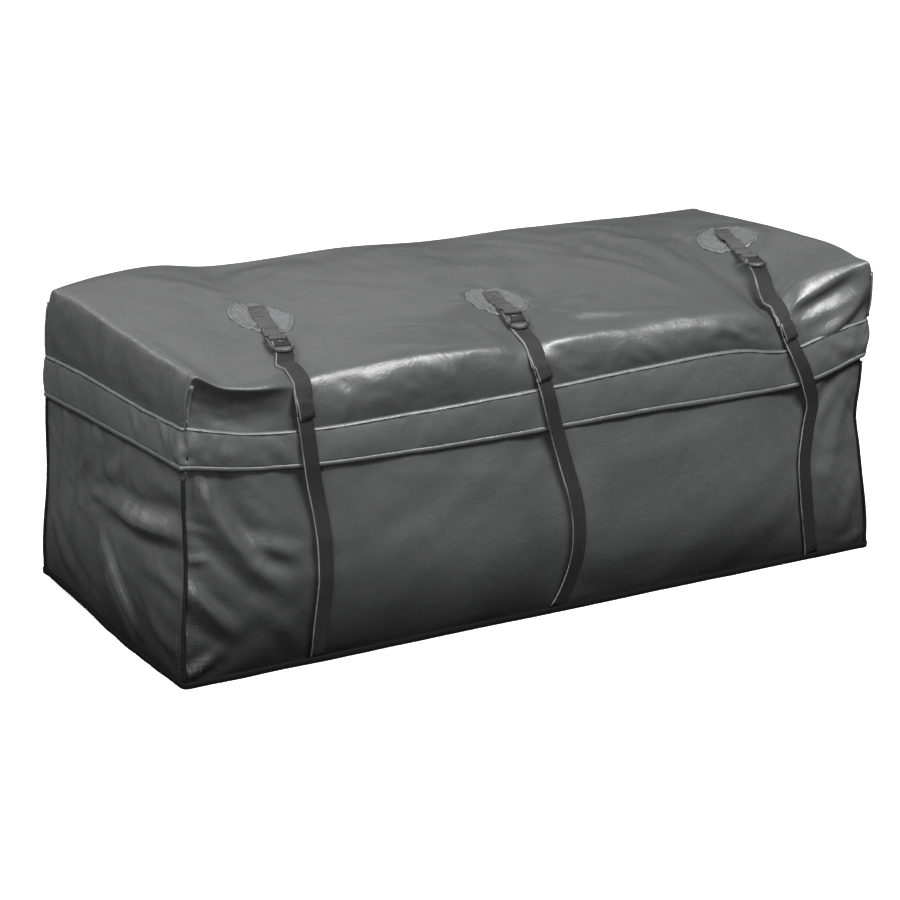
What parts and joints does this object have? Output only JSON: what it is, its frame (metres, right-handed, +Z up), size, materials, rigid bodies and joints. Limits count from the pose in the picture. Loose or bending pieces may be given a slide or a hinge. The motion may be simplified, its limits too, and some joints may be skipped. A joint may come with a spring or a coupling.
{
  "type": "soft cargo bag for a hitch carrier",
  "caption": "Long weatherproof vinyl cargo bag for a hitch carrier tray, with a hinged crowned lid, a storm flap over its zip and webbing straps with ladder-lock buckles.",
  "frame": {"origin": "centre of the base, on the surface the bag stands on", "axes": "+X along the length, +Z up, and the long side that carries the straps faces -Y"},
  "size_m": [1.422, 0.559, 0.5373],
  "materials": {
    "vinyl": "satin",
    "patch_vinyl": "satin",
    "trim": "satin",
    "webbing": "matte",
    "buckle_plastic": "satin",
    "zip_coil": "satin",
    "zip_metal": "satin"
  },
  "bodies": {
    "bag": {"bottom_panel": "vinyl", "front_panel": "vinyl", "back_panel": "vinyl", "left_end_panel": "vinyl", "right_end_panel": "vinyl", "base_binding_front": "trim", "base_binding_back": "trim", "base_binding_left": "trim", "base_binding_right": "trim", "corner_seam_front_left": "trim", "corner_seam_front_right": "trim", "corner_seam_back_left": "trim", "corner_seam_back_right": "trim", "hinge_welt": "trim", "zip_tape_lower": "trim", "zip_coil_lower": "zip_coil", "strap_front_1": "webbing", "strap_front_2": "webbing", "strap_front_3": "webbing"},
    "lid": {"lid_top": "vinyl", "lid_front_skirt": "vinyl", "lid_back_skirt": "vinyl", "lid_left_skirt": "vinyl", "lid_right_skirt": "vinyl", "lid_seam_front_left": "trim", "lid_seam_front_right": "trim", "lid_seam_back_left": "trim", "lid_seam_back_right": "trim", "storm_flap_front": "vinyl", "storm_flap_left": "vinyl", "storm_flap_right": "vinyl", "zip_tape_upper": "trim", "zip_coil_upper": "zip_coil", "patch_1": "patch_vinyl", "patch_2": "patch_vinyl", "patch_3": "patch_vinyl", "anchor_webbing_1": "webbing", "anchor_webbing_2": "webbing", "anchor_webbing_3": "webbing"},
    "straps_over_flap": {"strap_over_flap_1": "webbing", "strap_over_flap_2": "webbing", "strap_over_flap_3": "webbing", "strap_tail_1": "webbing", "strap_tail_2": "webbing", "strap_tail_3": "webbing"},
    "strap_ends": {"strap_end_1": "webbing", "strap_end_2": "webbing", "strap_end_3": "webbing"},
    "buckle_1": {"buckle_1": "buckle_plastic"},
    "buckle_2": {"buckle_2": "buckle_plastic"},
    "buckle_3": {"buckle_3": "buckle_plastic"},
    "slider_left": {"zip_slider_left": "zip_metal"},
    "slider_right": {"zip_slider_right": "zip_metal"},
    "pull_left": {"zip_pull_left": "zip_metal"},
    "pull_right": {"zip_pull_right": "zip_metal"}
  },
  "joints": [
    {"name": "lid_hinge", "type": "hinge", "parent": "bag", "child": "lid", "pos_m": [0, 0.26425, 0.382], "axis": [-1, 0, 0], "range_deg": [0, 105], "deforming": ["strap_over_flap_1", "strap_over_flap_2", "strap_over_flap_3", "strap_tail_1", "strap_tail_2", "strap_tail_3", "strap_end_1", "strap_end_2", "strap_end_3"]},
    {"name": "strap_drop", "type": "hinge", "parent": "bag", "child": "straps_over_flap", "pos_m": [0, -0.27207, 0.3445], "axis": [1, 0, 0], "range_deg": [0, 163]},
    {"name": "strap_unfold", "type": "hinge", "parent": "straps_over_flap", "child": "strap_ends", "pos_m": [0, -0.2552, 0.4835], "axis": [1, 0, 0], "range_deg": [0, 94]},
    {"name": "buckle_1_tilt", "type": "hinge", "parent": "lid", "child": "buckle_1", "pos_m": [-0.4609, -0.1352, 0.52157], "axis": [-0.98, 0.1988, 0], "range_deg": [0, 40]},
    {"name": "buckle_2_tilt", "type": "hinge", "parent": "lid", "child": "buckle_2", "pos_m": [-0.01993, -0.1612, 0.51652], "axis": [-0.9871, 0.1602, 0], "range_deg": [0, 40]},
    {"name": "buckle_3_tilt", "type": "hinge", "parent": "lid", "child": "buckle_3", "pos_m": [0.54802, -0.08192, 0.53026], "axis": [-0.9701, 0.2425, 0], "range_deg": [0, 40]},
    {"name": "zip_left_run", "type": "slide", "parent": "bag", "child": "slider_left", "axis": [-1, 0, 0], "range_m": [0, 0.64]},
    {"name": "zip_right_run", "type": "slide", "parent": "bag", "child": "slider_right", "axis": [1, 0, 0], "range_m": [0, 0.64]},
    {"name": "pull_left_swing", "type": "hinge", "parent": "slider_left", "child": "pull_left", "pos_m": [-0.014, -0.26224, 0.382], "axis": [0, 1, 0], "range_deg": [-35, 35]},
    {"name": "pull_right_swing", "type": "hinge", "parent": "slider_right", "child": "pull_right", "pos_m": [0.014, -0.26224, 0.382], "axis": [0, 1, 0], "range_deg": [-35, 35]}
  ],
  "couplings": [
    {"joint": "strap_drop", "follows": "lid_hinge", "ratio": 1.5523},
    {"joint": "strap_unfold", "follows": "lid_hinge", "ratio": 0.8951}
  ]
}
